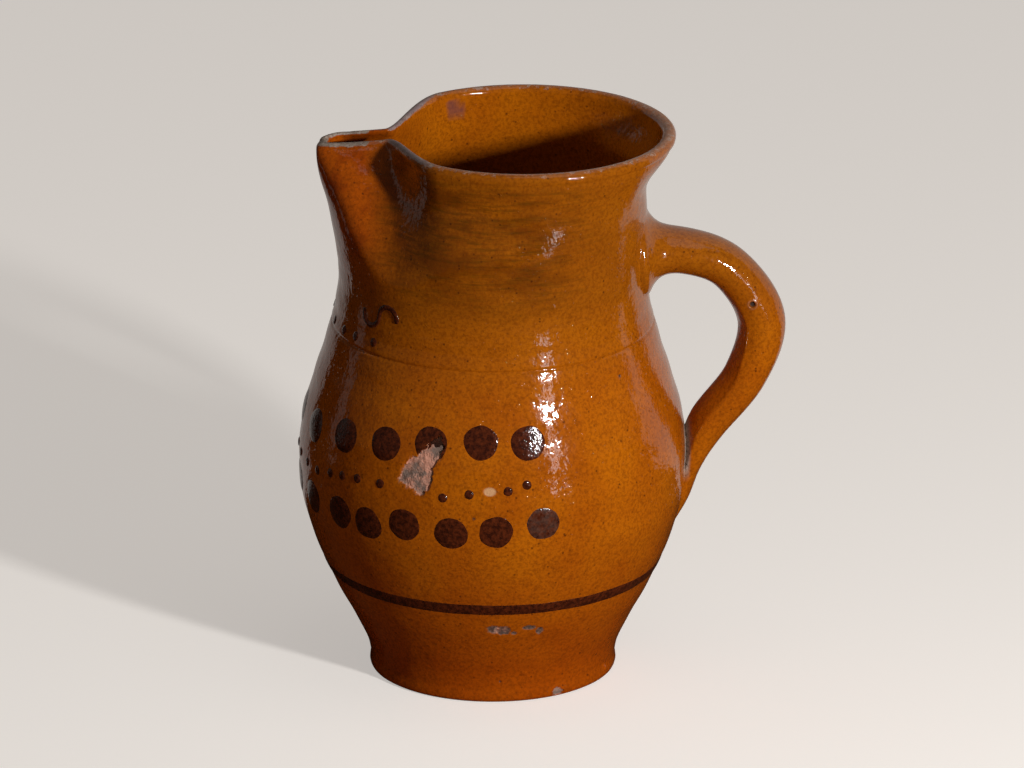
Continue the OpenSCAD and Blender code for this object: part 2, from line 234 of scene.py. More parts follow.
# The pinched spout
# While the rim was soft it was drawn out at one side and pinched nearly shut between two fingers, so
# that a narrow channel with two long lips is left. The rest of the mouth moved towards the handle.
mouth_x, mouth_rx, mouth_ry = 13, 64, 60
spout_reach, spout_root, nose_len = 75, 46.5, 7
spout_w, channel_w = 15, 6
spout_drop, drop_start = 3, 20
side_angle = math.radians(125)
round_pull, spout_pull = 45, 18
nose_lean, nose_angle = 0.17, 60
near_wear = 1.2
slant_start, nose_slant, nose_cut = 58, 4.5, 1.8


def channel_half(inset):
    return mix(spout_w, channel_w, inset / lip_t) / 2


def round_mouth(angle, inset):
    return Vector((mouth_x + (mouth_rx - inset) * math.cos(angle), (mouth_ry - inset) * math.sin(angle)))


def spout_side(t, inset):
    return Vector((-mix(spout_root - inset / 3, spout_reach - nose_len, t), channel_half(inset)))


def mouth_plan(way, inset):
    """Place on the rim: 0 to 1 round the mouth, to 2 in the pinch, to 3 along the spout, to 4 its nose."""
    if way <= 1:
        return round_mouth(side_angle * way, inset)
    if way <= 2:
        leave = Vector((-math.sin(side_angle), math.cos(side_angle))) * round_pull
        arrive = Vector((-spout_pull, 0))
        return curve(round_mouth(side_angle, inset), spout_side(0, inset), leave, arrive, way - 1)
    if way <= 3:
        return spout_side(way - 2, inset)
    turn = math.pi / 2 * (way - 3)
    reach = spout_reach - nose_len + (nose_len - inset * 0.8) * math.sin(turn)
    return Vector((-reach, channel_half(inset) * math.cos(turn)))


def neck_plan(angle, z, inset):
    near = math.cos(math.radians(min(90, (180 - angle) * 90 / nose_angle)))
    out = nose_lean * max(0, z - seam_z - 1) * near * near
    turn = math.radians(angle)
    return Vector((math.cos(turn), math.sin(turn))) * (neck_r + out - inset)


def way_at(angle):
    for i in range(4):
        if angle <= way_angles[i + 1]:
            break
    return i + (angle - way_angles[i]) / (way_angles[i + 1] - way_angles[i])


for vert in jug.verts:
    x, y, z = vert.co
    if z <= seam_z:
        continue
    angle = min(180, math.degrees(math.atan2(abs(y), x)))
    way = way_at(angle)
    depth = neck_r - math.hypot(x, y)
    inset = depth + vert[hollow_layer] * mix(1, 0.35, smooth(way / 0.7)) * (1 - smooth(way - 1))
    share = open_share(way, z)
    place = mix(neck_plan(angle, z, inset), mouth_plan(way, inset), share)
    drop = spout_drop * share * smooth((-place.x - drop_start) / (spout_reach - nose_len - drop_start))
    # The near lip is worn lower than the far one, and the nose is cut aslant, longest at the near lip
    if y < 0:
        drop += near_wear * share * smooth((way - 1.6) / 0.5)
    side = math.copysign(min(1, place.y / (spout_w / 2)), y)
    slant = share * smooth((-place.x - slant_start) / 10) * (nose_slant * side + nose_cut)
    vert.co = (place.x + slant, math.copysign(place.y, y), z - drop)

# The pulled handle
# A strap of the same clay, pulled to a thick oval, luted on to the neck with a thumbed root and laid
# down over the belly, where its tail runs out. It is made as a closed sweep and joined to the wall.
grip_t, grip_w = 19, 23
handle_top_z, grip_z, handle_low_z, tail_z = 185.5, 155, 108, 62
handle_reach, arm_run = 114.05, 16
root_flare, flare_run = 9.5, 3.5
tail_h = handle_low_z - tail_z
arm_x = neck_r + arm_run
low_x = wall_r(handle_low_z) + 0.51 * grip_t
handle_path = [
    # distance from the axis, height, and shares of the grip's thickness and width
    (neck_r - 9, handle_top_z, 1, 1.09),
    (arm_x, handle_top_z, 1, 1.09),
    (mix(arm_x, handle_reach, 0.6), mix(grip_z, handle_top_z, 0.73), 0.99, 1),
    (handle_reach, grip_z, 1.07, 1),
    (mix(low_x, handle_reach, 0.71), mix(grip_z, handle_low_z, 0.53), 0.98, 1),
    (low_x, handle_low_z, 0.9, 1),
    (wall_r(handle_low_z - 0.37 * tail_h) + 0.09 * grip_t, handle_low_z - 0.37 * tail_h, 0.55, 0.91),
    (wall_r(handle_low_z - 0.7 * tail_h) - 0.04 * grip_t, handle_low_z - 0.7 * tail_h, 0.38, 0.74),
    (wall_r(tail_z) - 0.16 * grip_t, tail_z, 0.17, 0.35),
]
handle_line = [Vector((x, z, t * grip_t / 2, w * grip_w / 2)) for x, z, t, w in handle_path]
handle_sides = 60
first_way = 0.22


def line_way(i):
    last = len(handle_line) - 1
    span = 1 if i in (0, last) else 2
    return (handle_line[min(i + 1, last)] - handle_line[max(i - 1, 0)]) / span


def handle_at(s):
    i = max(0, min(int(s), len(handle_line) - 2))
    return curve(handle_line[i], handle_line[i + 1], line_way(i), line_way(i + 1), s - i)


def handle_point(s, turn):
    """A point of the handle's skin: s runs along it and turn goes round the oval from its outer side.

    Past a ridge at the front, and one at the back, the inner side is pressed flatter.
    """
    here = handle_at(s)
    along = handle_at(s + 0.01) - handle_at(s - 0.01)
    outward = Vector((-along[1], along[0])).normalized()
    flare = root_flare * math.exp(-max(0, here[0] - neck_r) / flare_run)
    half_turn = math.pi - abs(math.pi - turn)
    cos, sin = math.cos(half_turn), math.sin(half_turn)
    ridge = math.radians(mix(128, 110, smooth((s - 3.1) / 1.3)))
    fade = smooth((s - 2.2) / 0.7) * smooth((6.8 - s) / 1)
    if half_turn > ridge:
        t = (half_turn - ridge) / (math.pi - ridge)
        cos = mix(cos, mix(math.cos(ridge), -1, t), 0.5 * fade)
        sin = mix(sin, mix(math.sin(ridge), 0, t), 0.5 * fade)
    arris = 0.35 * fade * swell(half_turn, ridge, 0.09)
    across = (here[2] + flare + arris) * cos
    wide = math.copysign((here[3] + flare + arris) * sin, math.pi - turn)
    return Vector((here[0] + outward[0] * across, wide, here[1] + outward[1] * across))


handle = bmesh.new()
side_layer = handle.verts.layers.int.new("side")
for i, vert in enumerate(bmesh.ops.create_circle(handle, segments=handle_sides, radius=1)["verts"]):
    vert[side_layer] = i
last_way = len(handle_line) - 1
ways = even(first_way, 4, 0.035) + even(4, last_way, 0.06)[1:]
ring = handle.verts[:]
rim_edges = handle.edges[:]
for s in ways:
    if s > first_way:
        grown = bmesh.ops.extrude_edge_only(handle, edges=rim_edges)["geom"]
        ring = [item for item in grown if isinstance(item, bmesh.types.BMVert)]
        rim_edges = [item for item in grown if isinstance(item, bmesh.types.BMEdge)]
    for vert in ring:
        vert.co = handle_point(s, 2 * math.pi * vert[side_layer] / handle_sides)
bmesh.ops.holes_fill(handle, edges=handle.edges[:], sides=0)
bmesh.ops.recalc_face_normals(handle, faces=handle.faces[:])

# Handle and wall become one closed skin
wall_tree = BVHTree.FromBMesh(jug)
handle_tree = BVHTree.FromBMesh(handle)


def new_object(bm, name):
    mesh = bpy.data.meshes.new(name)
    bm.to_mesh(mesh)
    bm.free()
    made = bpy.data.objects.new(name, mesh)
    bpy.context.scene.collection.objects.link(made)
    return made


jug_object = new_object(jug, "jug_body")
handle_object = new_object(handle, "handle_to_join")
join = jug_object.modifiers.new("join", "BOOLEAN")
join.operation = "UNION"
join.solver = "EXACT"
join.object = handle_object
joined = bpy.data.meshes.new_from_object(jug_object.evaluated_get(bpy.context.evaluated_depsgraph_get()))
jug_object.modifiers.clear()
bpy.data.objects.remove(handle_object)
jug = bmesh.new()
jug.from_mesh(joined)


def seam_gap(place):
    """How far a point is from the joint of handle and wall."""
    return max(wall_tree.find_nearest(place)[3], handle_tree.find_nearest(place)[3])


def by_handle(place):
    return place.x > 50 and abs(place.y) < 34 and 55 < place.z < 215


def joint_gaps():
    """Gap from the joint for the verts of the skin round the handle's ends."""
    return {vert: seam_gap(vert.co) for vert in jug.verts if by_handle(vert.co)}


seam_layer = jug.verts.layers.float.new("seam")
# The handle's skin takes none of the marks of the wall's layers
wall_layers = [jug.verts.layers.float[name] for name in ("hollow", "crest", "inside")]
for vert in jug.verts:
    if by_handle(vert.co) and handle_tree.find_nearest(vert.co)[3] < 0.02:
        for layer in wall_layers:
            vert[layer] = 0
gaps = joint_gaps()
bmesh.ops.remove_doubles(jug, verts=[v for v, gap in gaps.items() if gap < 0.9], dist=0.3)
gaps = joint_gaps()
joint_edges = [e for e in jug.edges if all(gaps.get(v, 9) < 4.5 for v in e.verts)]
bmesh.ops.subdivide_edges(jug, edges=joint_edges, cuts=1, use_grid_fill=True)
gaps = joint_gaps()
for top, bottom, reach, rounds in ((215, 150, 7, 14), (125, 55, 3.5, 5)):
    fillet = [v for v, gap in gaps.items() if gap < reach and bottom < v.co.z < top]
    for i in range(rounds):
        bmesh.ops.smooth_vert(
            jug, verts=fillet, factor=0.5, use_axis_x=True, use_axis_y=True, use_axis_z=True,
        )
for vert, gap in gaps.items():
    if vert.co.z < 122:
        vert[seam_layer] = smooth((3 - gap) / 2) * smooth((vert.co.z - 84) / 8)

# Chips, pits and lumps
# Knocks have broken glaze and slip away down to the pink clay, burst bubbles left dark pits, and drops
# of glaze and grit stand out. Each is modelled in the skin, which is made finer there first.
flake_angle, flake_z, flake_h = 68.5, 113, 23.4
flake_outline = [Vector(point) * flake_h for point in (
    (-0.43, -0.19), (-0.32, 0.02), (-0.26, 0.17), (-0.12, 0.22), (0.03, 0.37), (0.15, 0.53), (0.26, 0.6),
    (0.32, 0.47), (0.26, 0.27), (0.16, 0.11), (0.15, -0.14), (0.08, -0.32), (-0.03, -0.4), (-0.15, -0.31),
)]
marks = [
    # kind, turn from the spout in degrees, height, radius across and up, depth
    ("scar", 89.2, 106.3, 3, 2.1, 0.2),
    ("old chip", 90.2, 38.5, 3.2, 2.4, 0.6),
    ("old chip", 94, 38, 3.2, 2.6, 0.5),
    ("old chip", 98, 36.4, 1.3, 1, 0.4),
    ("old chip", 103.5, 38.9, 3, 1.3, 0.4),
    ("old chip", 107.6, 36.6, 1.7, 2.1, 0.5),
    ("lump", 103.9, 13.6, 1.9, 1.7, 0.5),
    ("pit", 93.4, 9.9, 0.8, 0.8, 0.7),
    ("chip", 121.8, 2.4, 2.8, 1.9, 0.8),
    ("lump", 155.8, 4.8, 1.8, 2.6, 0.9),
    ("pit", 173.4, 170.4, 1.7, 1.6, 1.2),
    ("lump", 77.3, 142.3, 1.2, 1.2, 0.5),
    ("lump", 113.7, 181.1, 2.2, 2.2, 0.6),
    ("pit", 139.2, 145.7, 1.1, 1.1, 0.5),
    ("pit", 84.5, 94.3, 1, 1, 0.3),
    ("pit", 164, 103, 0.9, 0.9, 0.4),
    ("lump", 62, 133, 0.8, 0.8, 0.3),
    ("chip", 222, 131, 2.4, 1.7, 0.4),
    ("chip", 300, 27, 3, 2, 0.5),
    ("pit", 255, 150, 1.1, 1.1, 0.5),
    ("lump", 285, 78, 1.3, 1.3, 0.4),
]

# A pit on the front of the handle, and spots of thin violet glaze as (place, radius)
handle_pit, handle_pit_r = Vector((110.2, -9.4, 165.1)), 1.6
violet_spots = [
    (Vector((-18.6, 50, 234)), 5.5), (Vector((-14.5, 51, 231.5)), 4), (Vector((-24, 47.5, 236)), 4),
    (Vector((-3, -52, 236)), 4), (Vector((4, -52, 235.5)), 3.4), (Vector((12.5, -70, 38)), 2.2),
]


def at_turn(angle):
    """Direction on the wall at a turn from the spout towards the front."""
    turn = math.pi + math.radians(angle)
    return Vector((math.cos(turn), math.sin(turn), 0))


def across_up(place, angle, z):
    """Where a point lies on the wall, across and up from a mark."""
    side = at_turn(angle + 90)
    return Vector((place.dot(side), place.z - z))


def beyond_outline(point, outline):
    """Distance of a point outside a closed outline, or less than nought inside it."""
    nearest, inside = 1e9, False
    for a, b in zip(outline, outline[1:] + outline[:1]):
        edge, to_point = b - a, point - a
        t = min(max(to_point.dot(edge) / edge.length_squared, 0), 1)
        nearest = min(nearest, (to_point - edge * t).length)
        if (a.y > point.y) != (b.y > point.y) and point.x < a.x + (point.y - a.y) / edge.y * edge.x:
            inside = not inside
    return -nearest if inside else nearest


def faces_out(place, angle):
    return place.dot(at_turn(angle)) > 30 and math.hypot(place.x, place.y) > wall_r(place.z) - 3


def middle_of(item):
    return item.co if isinstance(item, bmesh.types.BMVert) else (item.verts[0].co + item.verts[1].co) / 2


def near_places(items, places):
    """For each (place, reach), the vertices or edges of the skin that lie within reach of the place."""
    items = list(items)
    tree = KDTree(len(items))
    for i, item in enumerate(items):
        tree.insert(middle_of(item), i)
    tree.balance()
    return [[items[found[1]] for found in tree.find_range(place, reach)] for place, reach in places]


def on_wall(angle, z):
    return at_turn(angle) * outside_r(z) + Vector((0, 0, z))


def refine(places):
    """Halves the edges of the skin near the places given."""
    edges = {edge for found in near_places(jug.edges, places) for edge in found}
    bmesh.ops.subdivide_edges(jug, edges=list(edges), cuts=1, use_grid_fill=True)


def near_flake(items):
    """The vertices or edges in the flaked patch and just round it."""
    found = near_places(items, [(on_wall(flake_angle, flake_z), 18)])[0]
    return [item for item in found if faces_out(middle_of(item), flake_angle) and beyond_outline(
        across_up(middle_of(item), flake_angle, flake_z), flake_outline) < 1.5]


def beyond_flake(place):
    """Distance of a place outside the ragged edge of the flaked patch."""
    flat = across_up(place, flake_angle, flake_z)
    rag = 0.8 * noise.noise(flat.to_3d() * 0.55) + 0.45 * noise.noise(flat.to_3d() * 1.6)
    return beyond_outline(flat, flake_outline) - 0.9 + rag


mark_places = [(on_wall(angle, z), max(wide, tall) + 1) for kind, angle, z, wide, tall, depth in marks]
pit_place = [(handle_pit, handle_pit_r + 1.5)]
for i in range(3):
    bmesh.ops.subdivide_edges(jug, edges=near_flake(jug.edges), cuts=1, use_grid_fill=True)
    if i > 0:
        refine(mark_places + pit_place)

clay_layer = jug.verts.layers.float.new("clay")
pit_layer = jug.verts.layers.float.new("pit")
scar_layer = jug.verts.layers.float.new("scar")
violet_layer = jug.verts.layers.float.new("violet")
for vert in near_flake(jug.verts):
    place = vert.co.copy()
    bare = smooth((0.3 - beyond_flake(place)) / 0.5)
    rough = 0.3 * noise.noise(place * 0.45) + 0.16 * noise.noise(place * 1.4)
    vert.co -= at_turn(flake_angle) * bare * (0.85 + rough)
    vert[clay_layer] = bare
layer_of = {"chip": clay_layer, "old chip": clay_layer, "pit": pit_layer, "scar": scar_layer}
for (kind, angle, z, wide, tall, depth), found in zip(marks, near_places(jug.verts, mark_places)):
    for vert in found:
        place = vert.co.copy()
        if not faces_out(place, angle):
            continue
        offset = across_up(place, angle, z)
        far = math.hypot(offset.x / wide, offset.y / tall)
        if far > 1.6:
            continue
        if kind == "lump":
            vert.co += at_turn(angle) * depth * smooth(1 - far)
            continue
        far += 0.3 * noise.noise(place * 1.1) if "chip" in kind else 0
        bare = smooth((1 - far) / (0.9 if kind == "pit" else 0.3))
        vert.co -= at_turn(angle) * depth * bare
        vert[layer_of[kind]] = max(vert[layer_of[kind]], bare)
        # Grime has settled in the old chips
        if kind == "old chip":
            vert[pit_layer] = bare * (0.7 + 0.6 * noise.noise(place * 0.9))
for vert in near_places(jug.verts, pit_place)[0]:
    far = Vector((vert.co.x - handle_pit.x, vert.co.z - handle_pit.z)).length / handle_pit_r
    sunk = smooth((1 - far) / 0.6)
    vert.co.y += 1.3 * sunk - 0.2 * swell(far, 1.25, 0.22)
    vert[pit_layer] = sunk
    vert[clay_layer] = 0.3 * swell(far, 1.2, 0.2)
for spot, found in zip(violet_spots, near_places(jug.verts, violet_spots)):
    for vert in found:
        far = (vert.co - spot[0]).length / spot[1] + 0.35 * noise.noise(vert.co * 0.7)
        vert[violet_layer] = max(vert[violet_layer], smooth((1 - far) / 0.25))
bmesh.ops.recalc_face_normals(jug, faces=jug.faces[:])

# The amber lead glaze
# Galena glaze over a red body, fired in a wood kiln. It gives the eye a wet, glassy amber with a fine
# orange peel, dark specks of iron, olive smoke streaks on the neck, redder, thinner glaze at the spout,
# and a redder, darker tone towards the foot. Where it has chipped or worn away the clay is matt and pink.


def colour(code):
    """A written sRGB colour as linear light."""
    parts = [int(code[i:i + 2], 16) / 255 for i in (1, 3, 5)]
    return [c / 12.92 if c <= 0.04045 else ((c + 0.055) / 1.055) ** 2.4 for c in parts] + [1]


def new_material(name):
    material = bpy.data.materials.new(name)
    material.use_nodes = True
    material.node_tree.nodes.clear()
    return material


def add(tree, kind, values, out=0):
    """Adds a node and gives back one output. A value is a setting, a constant or an output to link."""
    node = tree.nodes.new(kind)
    for name, value in values.items():
        if isinstance(name, str) and name.islower():
            setattr(node, name, value)
        elif isinstance(value, bpy.types.NodeSocket):
            tree.links.new(value, node.inputs[name])
        else:
            node.inputs[name].default_value = value
    return node.outputs[out]


def layer_share(tree, name):
    """What a layer of the mesh says at a point of the skin."""
    return add(tree, "ShaderNodeAttribute", {"attribute_name": name}, "Fac")


def clouds(tree, place, size, detail, rough=0.5):
    """Noise whose clouds have a size in millimetres."""
    return add(tree, "ShaderNodeTexNoise", {
        "Vector": place, "Scale": 1 / (size * MM), "Detail": detail, "Roughness": rough})


def ramp(tree, value, low, high, top=1, bottom=0):
    """Goes from bottom to top while the value goes from low to high, and is level outside."""
    return add(tree, "ShaderNodeMapRange", {
        "Value": value, "From Min": low, "From Max": high, "To Min": bottom, "To Max": top})


def times(tree, a, b):
    return add(tree, "ShaderNodeMath", {"operation": "MULTIPLY", 0: a, 1: b})


def blend(tree, share, first, second):
    """The first colour where the share is 0, the second where it is 1."""
    return add(tree, "ShaderNodeMix", {"data_type": "RGBA", 0: share, 6: first, 7: second}, 2)


def cover(tree, shader):
    tree.links.new(shader, tree.nodes.new("ShaderNodeOutputMaterial").inputs["Surface"])


glaze = new_material("amber_lead_glaze_on_red_earthenware")
tree = glaze.node_tree
place = add(tree, "ShaderNodeTexCoord", {}, "Object")
x = add(tree, "ShaderNodeSeparateXYZ", {"Vector": place}, "X")
z = x.node.outputs["Z"]
inside = layer_share(tree, "inside")
outside = ramp(tree, inside, 1, 0)

# Amber with yellower clouds, more olive from the shoulder up, redder and darker towards the foot
cloud = clouds(tree, place, 26, 3)
share = ramp(tree, cloud, 0.35, 0.65)
tone = blend(tree, share, colour("#aa5607"), colour("#b96408"))
share = ramp(tree, z, 0.14, 0.18, 0.6)
share = times(tree, share, outside)
tone = blend(tree, share, tone, colour("#8f520a"))
share = ramp(tree, z, 0.07, 0.015, 0.75)
tone = blend(tree, share, tone, colour("#a24304"))

# Redder on the spout, with dark red clouds
spout = ramp(tree, x, -0.03, -0.056)
above = ramp(tree, z, 0.176, 0.205)
spout = times(tree, spout, above)
share = times(tree, spout, 0.7)
tone = blend(tree, share, tone, colour("#ad4805"))
cloud = clouds(tree, place, 9, 3)
share = ramp(tree, cloud, 0.45, 0.7, 0.6)
share = times(tree, share, spout)
tone = blend(tree, share, tone, colour("#7c2603"))

# Brown smoke with slanting olive streaks on the front and back of the neck
smoke = outside
for value, low, high in ((z, 0.17, 0.198), (z, 0.241, 0.228), (x, 0.062, 0.014), (x, -0.056, -0.04)):
    fade = add(tree, "ShaderNodeMapRange", {
        "interpolation_type": "SMOOTHSTEP", "Value": value, "From Min": low, "From Max": high})
    smoke = times(tree, smoke, fade)
slanted = add(tree, "ShaderNodeMapping", {"Vector": place, "Rotation": (0, 0.3, 0), "Scale": (1, 1, 2.6)})
cloud = clouds(tree, slanted, 30, 4, 0.6)
share = ramp(tree, cloud, 0.32, 0.6, 0.8)
share = times(tree, share, smoke)
tone = blend(tree, share, tone, colour("#663104"))
streaked = add(tree, "ShaderNodeMapping", {"Vector": place, "Rotation": (0, 0.42, 0), "Scale": (1, 1, 9)})
cloud = clouds(tree, streaked, 16, 5, 0.65)
share = ramp(tree, cloud, 0.47, 0.63, 0.5)
share = times(tree, share, smoke)
tone = blend(tree, share, tone, colour("#3c2b06"))

# Fine mottling of the melt, and dark specks of iron, some larger and many small
cloud = clouds(tree, place, 1.4, 3, 0.65)
share = ramp(tree, cloud, 0.42, 0.66, 0.5)
tone = blend(tree, share, tone, colour("#642b04"))
for size, low, high, amount in ((3.4, 0.35, 0.8, 0.7), (1.7, 0.55, 0.8, 0.5)):
    gap = add(tree, "ShaderNodeTexVoronoi", {"Vector": place, "Scale": 1 / (size * MM)})
    speck = ramp(tree, gap, 0.19, 0.08)
    chance = add(tree, "ShaderNodeSeparateColor", {"Color": gap.node.outputs["Color"]})
    chance = ramp(tree, chance, low, high, amount)
    share = times(tree, speck, chance)
    tone = blend(tree, share, tone, colour("#371708"))

# Violet where the glaze lies thin on the clay
violet = layer_share(tree, "violet")
share = times(tree, violet, 0.65)
tone = blend(tree, share, tone, colour("#6b4043"))

# Worn crest of the rim: bare at the tip and the root of the spout, a thin chafed line elsewhere
crest = layer_share(tree, "crest")
root = ramp(tree, x, -0.02, -0.03)
lips = ramp(tree, x, -0.0455, -0.043)
root = times(tree, root, lips)
tip = ramp(tree, x, -0.051, -0.0535)
grip_side = ramp(tree, x, 0.062, 0.07, 0.7)
cloud = clouds(tree, place, 4, 5, 0.72)
chafed = ramp(tree, cloud, 0.38, 0.62, 0.55, 0.1)
worn = chafed
for other in (root, tip, grip_side):
    worn = add(tree, "ShaderNodeMath", {"operation": "MAXIMUM", 0: worn, 1: other})
wear = times(tree, worn, crest)
ragged = ramp(tree, cloud, 0.3, 0.7, 0.22, -0.22)
wear = add(tree, "ShaderNodeMath", {"operation": "ADD", 0: wear, 1: ragged})
wear = ramp(tree, wear, 0.3, 0.5)
has_crest = ramp(tree, crest, 0.02, 0.25)
wear = times(tree, wear, has_crest)
bisque = blend(tree, root, colour("#a8704e"), colour("#84767a"))
bisque = blend(tree, tip, bisque, colour("#8c8478"))
share = ramp(tree, cloud, 0.5, 0.66, 0.7)
bisque = blend(tree, share, bisque, colour("#b9aca0"))
grimy = clouds(tree, place, 1.3, 4, 0.75)
share = ramp(tree, grimy, 0.5, 0.68, 0.8)
bisque = blend(tree, share, bisque, colour("#4a3027"))
share = times(tree, wear, 0.88)
tone = blend(tree, share, tone, bisque)

# Bare clay in the chips, the ghost of a lost dot, pits, the dirty joint of the handle and the underside
bare = layer_share(tree, "clay")
cloud = clouds(tree, place, 6, 4, 0.7)
share = ramp(tree, cloud, 0.42, 0.58)
clay = blend(tree, share, colour("#7c675c"), colour("#c98f78"))
tone = blend(tree, bare, tone, clay)
scar = layer_share(tree, "scar")
tone = blend(tree, scar, tone, colour("#c9986a"))
pit = layer_share(tree, "pit")
tone = blend(tree, pit, tone, colour("#2b1a12"))
seam = layer_share(tree, "seam")
share = ramp(tree, grimy, 0.47, 0.68)
grime = blend(tree, share, colour("#a79182"), colour("#3a2a22"))
tone = blend(tree, seam, tone, grime)
under = ramp(tree, z, 0.0009, 0.0003)
tone = blend(tree, under, tone, colour("#a3644a"))

# Glassy, but matt where the clay is bare or the glaze is worn
matt = times(tree, wear, 0.6)
for other in (bare, scar, pit, seam, under):
    matt = add(tree, "ShaderNodeMath", {"operation": "MAXIMUM", 0: matt, 1: other})
cloud = clouds(tree, place, 14, 3)
gloss = ramp(tree, cloud, 0, 1, 0.11, 0.04)
roughness = add(tree, "ShaderNodeMix", {"data_type": "FLOAT", 0: matt, 2: gloss, 3: 0.82})

# Soft unevenness of the melt, orange peel, small bubbles that catch the light, and grain on the clay
cloud = clouds(tree, place, 11, 2)
normal = add(tree, "ShaderNodeBump", {"Strength": 1, "Distance": 0.45 * MM, "Height": cloud})
cloud = clouds(tree, place, 2.2, 2)
normal = add(tree, "ShaderNodeBump", {
    "Strength": 1, "Distance": 0.14 * MM, "Height": cloud, "Normal": normal})
for size, edge, depth in ((3.1, 0.16, 0.16), (1.9, 0.2, 0.1)):
    gap = add(tree, "ShaderNodeTexVoronoi", {"Vector": place, "Scale": 1 / (size * MM)})
    dome = add(tree, "ShaderNodeMapRange", {
        "interpolation_type": "SMOOTHSTEP", "Value": gap, "From Min": edge, "From Max": 0})
    chance = add(tree, "ShaderNodeSeparateColor", {"Color": gap.node.outputs["Color"]}, "Green")
    chance = ramp(tree, chance, 0.4, 0.6)
    dome = times(tree, dome, chance)
    normal = add(tree, "ShaderNodeBump", {
        "Strength": 1, "Distance": depth * MM, "Height": dome, "Normal": normal})
cloud = clouds(tree, place, 1.6, 3, 0.7)
normal = add(tree, "ShaderNodeBump", {
    "Strength": matt, "Distance": 0.35 * MM, "Height": cloud, "Normal": normal})
skin = add(tree, "ShaderNodeBsdfPrincipled", {
    "IOR": 1.55, "Base Color": tone, "Roughness": roughness, "Normal": normal})
cover(tree, skin)


def finish_piece(bm, name, material, node):
    """Scales a mesh to metres and makes it a smooth piece that stands for a node."""
    bmesh.ops.scale(bm, vec=(MM, MM, MM), verts=bm.verts[:])
    for face in bm.faces:
        face.smooth = True
    piece = new_object(bm, name)
    piece.data.materials.append(material)
    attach(piece, "root")
    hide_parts(node)
    return piece


bpy.data.objects.remove(jug_object)
finish_piece(jug, "glazed_body", glaze, "jug")

# The trailed slip
# Liquid clay with iron and manganese, dropped from a cow horn on the leather-hard wall before glazing.
# The dots dried to low domes with uneven edges, and the glaze over them is dark and glossy.
slip_t = 0.6
slip = new_material("dark_slip_under_lead_glaze")
tree = slip.node_tree
place = add(tree, "ShaderNodeTexCoord", {}, "Object")
cloud = clouds(tree, place, 1.8, 4, 0.65)
share = ramp(tree, cloud, 0.4, 0.66)
dark = blend(tree, share, colour("#33130a"), colour("#5c2812"))
rubbed = layer_share(tree, "rubbed")
cloud = clouds(tree, place, 2.6, 4, 0.7)
share = ramp(tree, cloud, 0.36, 0.6, 0.28)
share = times(tree, share, rubbed)
dark = blend(tree, share, dark, colour("#6d574c"))
gloss = ramp(tree, share, 0, 1, 0.6, 0.09)
cloud = clouds(tree, place, 1.2, 2, 0.6)
normal = add(tree, "ShaderNodeBump", {"Strength": 1, "Distance": 0.2 * MM, "Height": cloud})
skin = add(tree, "ShaderNodeBsdfPrincipled", {
    "IOR": 1.55, "Base Color": dark, "Roughness": gloss, "Normal": normal})
cover(tree, skin)


def lay_on_wall(bm, verts, angle, z):
    """Bends verts that were made flat, across in X, up in Y and out in Z, on to the wall."""
    for vert in verts:
        across, up, out = vert.co
        height = z + up
        radius = outside_r(height) + out
        place = at_turn(angle + math.degrees(math.asin(across / radius))) * radius
        vert.co = (place.x, place.y, height)


def close_under(bm):
    """Closes the underside of slip that was made as an open cap."""
    bmesh.ops.holes_fill(bm, edges=[e for e in bm.edges if e.is_boundary], sides=0)


def add_dot(bm, angle, z, radius, thickness, seed, tall=1):
    """A domed drop of slip whose edge is sunk a little into the wall."""
    start = set(bm.verts)
    disc = bmesh.ops.create_circle(bm, cap_ends=True, segments=44, radius=radius)["verts"]
    face = disc[0].link_faces[0]
    for share in (0.985, 0.95, 0.9, 0.82, 0.72, 0.6, 0.48, 0.36, 0.24, 0.12):
        now = max(v.co.xy.length for v in face.verts)
        bmesh.ops.inset_region(bm, faces=[face], thickness=now - share * radius, use_boundary=True)
    verts = [v for v in bm.verts if v not in start]
    for vert in verts:
        share = min(vert.co.xy.length / radius, 1)
        side = Vector((vert.co.x, vert.co.y, 0)).normalized() * 1.3
        wobble = 1 + 0.07 * noise.noise(side + Vector((seed * 3.1, 0, 0)))
        dome = (1 - share**5) * (0.8 + 0.2 * (1 - share * share))
        vert.co = (vert.co.x * wobble, vert.co.y * wobble * tall, thickness * dome - 0.12)
    close_under(bm)
    lay_on_wall(bm, verts, angle, z)
    return verts


large_r, small_r = 7.2, 2.1
belly_z = stations[2][0]
upper_row_z, small_row_z, lower_row_z, neck_row_z = belly_z + 27, belly_z + 8, belly_z - 8, line_z + 4


def row(dots, z, side=1):
    """Dots as (turn from the spout, height over the row in radii of a large dot), on one side."""
    return [(side * angle, z + share * large_r) for angle, share in dots]


